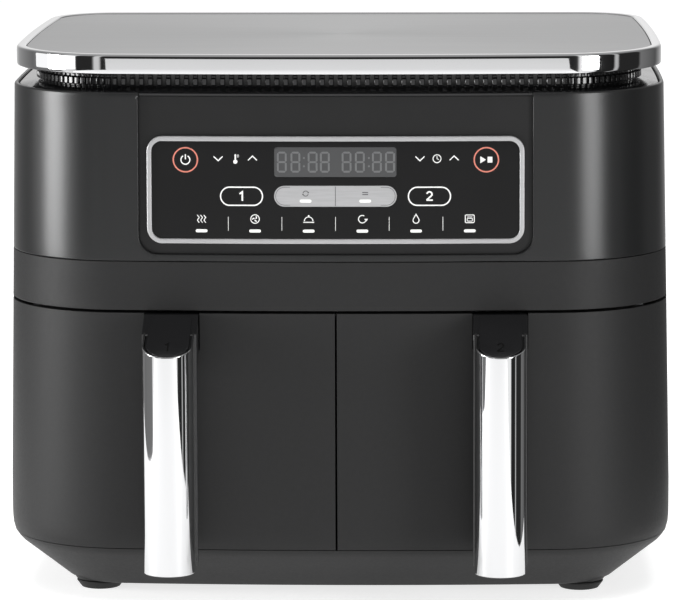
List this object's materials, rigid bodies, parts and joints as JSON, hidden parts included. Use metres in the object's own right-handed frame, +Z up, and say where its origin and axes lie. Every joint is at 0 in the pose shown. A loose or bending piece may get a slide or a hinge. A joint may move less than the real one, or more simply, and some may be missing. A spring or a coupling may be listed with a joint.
{
  "type": "air fryer",
  "caption": "Free-standing air fryer with side-by-side pull-out drawers, upright bar handles, a touch control panel, hot-air fans and lifting crisper plates.",
  "frame": {"origin": "centre of the overall box, on the surface that the feet stand on", "axes": "+X to the right as seen from the front, +Y towards the back, +Z up"},
  "size_m": [0.394, 0.352, 0.325],
  "materials": {
    "satin_metal": "satin dark metallic lacquer",
    "matte_black": "fine matt moulded",
    "gloss_black": "polished",
    "panel_glass": "smoked, printed from behind",
    "display_grey": "smoked window",
    "satin_aluminium": "satin, fine brushed",
    "silver_print": "brushed silver inlay",
    "lamp_white": "diffusing",
    "chrome": "mirror",
    "brushed_lid": "brushed along the width",
    "rubber": "matt",
    "zinc_steel": "zinc plated",
    "screw_steel": "machined",
    "element_steel": "heat tinted",
    "bare_aluminium": "pressed",
    "motor_steel": "dark plated",
    "non_stick": "non-stick coating",
    "silicone": "matt",
    "board_green": "solder resist",
    "white_plastic": "moulded",
    "cream_plastic": "moulded",
    "red_plastic": "moulded"
  },
  "bodies": {
    "housing": {"base_tray": "matte_black", "rubber_feet": "rubber", "case_screws": "screw_steel", "main_housing": "matte_black", "upper_shell": "satin_metal", "inner_frame": "zinc_steel", "drawer_rails": "zinc_steel", "cavity_liner_left": "zinc_steel", "cavity_liner_right": "zinc_steel", "heater_dome_left": "zinc_steel", "heater_dome_right": "zinc_steel", "heating_element_left": "element_steel", "heating_element_right": "element_steel", "heater_guard_left": "zinc_steel", "heater_guard_right": "zinc_steel", "fan_motor_left": "motor_steel", "fan_motor_right": "motor_steel", "motor_bracket_left": "zinc_steel", "motor_bracket_right": "zinc_steel", "drawer_switch_left": "cream_plastic", "drawer_switch_right": "cream_plastic", "control_board": "board_green", "power_board": "board_green", "temperature_probes": "screw_steel", "rear_vent_cover": "matte_black", "cord_gland": "rubber", "vent_collar": "gloss_black", "lid_frame": "matte_black", "lid_trim": "chrome", "lid_plate": "brushed_lid", "fascia": "gloss_black", "control_frame": "satin_aluminium", "touch_panel": "panel_glass", "display_lens": "display_grey", "mode_strip": "silver_print", "indicator_lamps": "lamp_white"},
    "left_drawer": {"drawer_front_left": "matte_black", "drawer_heat_shield_left": "zinc_steel", "basket_left": "non_stick", "handle_core_left": "gloss_black", "handle_cladding_left": "chrome", "handle_screws_left": "screw_steel"},
    "left_plate": {"crisper_plate_left": "non_stick", "plate_bumpers_left": "silicone"},
    "left_fan": {"hot_air_fan_left": "bare_aluminium", "cooling_fan_left": "white_plastic", "motor_shaft_left": "screw_steel"},
    "left_switch": {"switch_button_left": "red_plastic"},
    "right_drawer": {"drawer_front_right": "matte_black", "drawer_heat_shield_right": "zinc_steel", "basket_right": "non_stick", "handle_core_right": "gloss_black", "handle_cladding_right": "chrome", "handle_screws_right": "screw_steel"},
    "right_plate": {"crisper_plate_right": "non_stick", "plate_bumpers_right": "silicone"},
    "right_fan": {"hot_air_fan_right": "bare_aluminium", "cooling_fan_right": "white_plastic", "motor_shaft_right": "screw_steel"},
    "right_switch": {"switch_button_right": "red_plastic"}
  },
  "joints": [
    {"name": "left_drawer_slide", "type": "slide", "parent": "housing", "child": "left_drawer", "axis": [0, -1, 0], "range_m": [0, 0.25]},
    {"name": "left_plate_lift", "type": "slide", "parent": "left_drawer", "child": "left_plate", "axis": [0, 0, 1], "range_m": [0, 0.09]},
    {"name": "left_fan_spin", "type": "hinge", "parent": "housing", "child": "left_fan", "pos_m": [-0.093, 0.02, 0.2], "axis": [0, 0, 1], "continuous": true},
    {"name": "left_switch_press", "type": "slide", "parent": "housing", "child": "left_switch", "axis": [0, 1, 0], "range_m": [0, 0.002], "stiffness_N_per_m": 200},
    {"name": "right_drawer_slide", "type": "slide", "parent": "housing", "child": "right_drawer", "axis": [0, -1, 0], "range_m": [0, 0.25]},
    {"name": "right_plate_lift", "type": "slide", "parent": "right_drawer", "child": "right_plate", "axis": [0, 0, 1], "range_m": [0, 0.09]},
    {"name": "right_fan_spin", "type": "hinge", "parent": "housing", "child": "right_fan", "pos_m": [0.093, 0.02, 0.2], "axis": [0, 0, 1], "continuous": true},
    {"name": "right_switch_press", "type": "slide", "parent": "housing", "child": "right_switch", "axis": [0, 1, 0], "range_m": [0, 0.002], "stiffness_N_per_m": 200}
  ]
}
